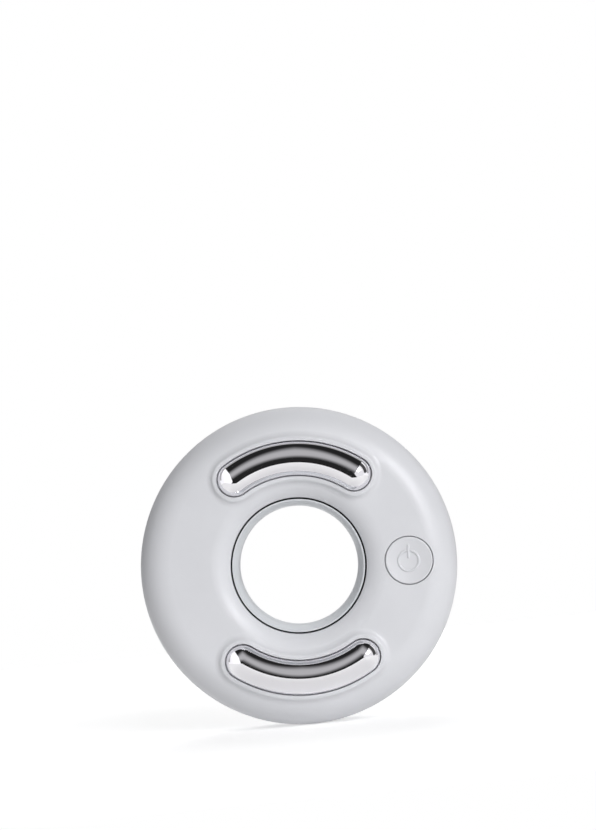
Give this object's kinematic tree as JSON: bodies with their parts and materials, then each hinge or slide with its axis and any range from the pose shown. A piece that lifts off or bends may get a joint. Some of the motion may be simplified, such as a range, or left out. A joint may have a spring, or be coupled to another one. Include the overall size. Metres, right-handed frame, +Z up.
{
  "type": "facial toning device",
  "caption": "Ring-shaped facial toning device with arc-shaped metal electrodes in raised collars, a central finger hole and a push button.",
  "frame": {"origin": "centre of the finger hole, midway between the front and back flats", "axes": "+Y along the finger hole, from the electrodes' side to the flat back; +X towards the power button; +Z up, towards the upper electrode as the ring stands on its rim"},
  "size_m": [0.09, 0.0273, 0.09],
  "materials": {
    "shell": "satin moulded plastic",
    "button": "satin moulded plastic",
    "sleeve": "satin moulded plastic",
    "chrome": "polished chrome plate",
    "seal": "matt silicone",
    "plug": "matt silicone",
    "clamp": "moulded plastic",
    "screw": "zinc plated",
    "contact": "gold plated",
    "dark_plastic": "matt",
    "ferrite": "matt",
    "board": "solder mask",
    "port_shell": "plain",
    "cell": "foil pouch",
    "foam": "foam",
    "connector": "moulded plastic",
    "leads": "insulated wire"
  },
  "bodies": {
    "body": {"front_housing": "shell", "rear_housing": "shell", "bore_sleeve": "sleeve", "front_bore_seal": "seal", "rear_bore_seal": "seal", "housing_seal": "seal", "upper_electrode": "chrome", "lower_electrode": "chrome", "upper_electrode_core": "contact", "lower_electrode_core": "contact", "upper_electrode_seal": "seal", "lower_electrode_seal": "seal", "upper_electrode_clamp": "clamp", "lower_electrode_clamp": "clamp", "electrode_screws": "screw", "upper_contact_spring": "contact", "lower_contact_spring": "contact", "button_seal": "seal", "tact_switch": "dark_plastic", "main_board": "board", "board_chips": "dark_plastic", "boost_inductor": "ferrite", "sounder": "dark_plastic", "usb_socket": "port_shell", "battery_cell": "cell", "battery_pad": "foam", "battery_connector": "connector", "battery_leads": "leads", "board_screws": "screw", "housing_screws": "screw", "screw_plugs": "shell"},
    "button": {"power_button": "button", "switch_plunger": "dark_plastic"},
    "plug": {"port_plug": "plug"}
  },
  "joints": [
    {"name": "button_press", "type": "slide", "parent": "body", "child": "button", "axis": [0, 1, 0], "range_m": [0, 0.0004], "stiffness_N_per_m": 400, "springref_m": -0.002},
    {"name": "port_plug_pull", "type": "slide", "parent": "body", "child": "plug", "axis": [1, 0, 0], "range_m": [0, 0.009]}
  ]
}
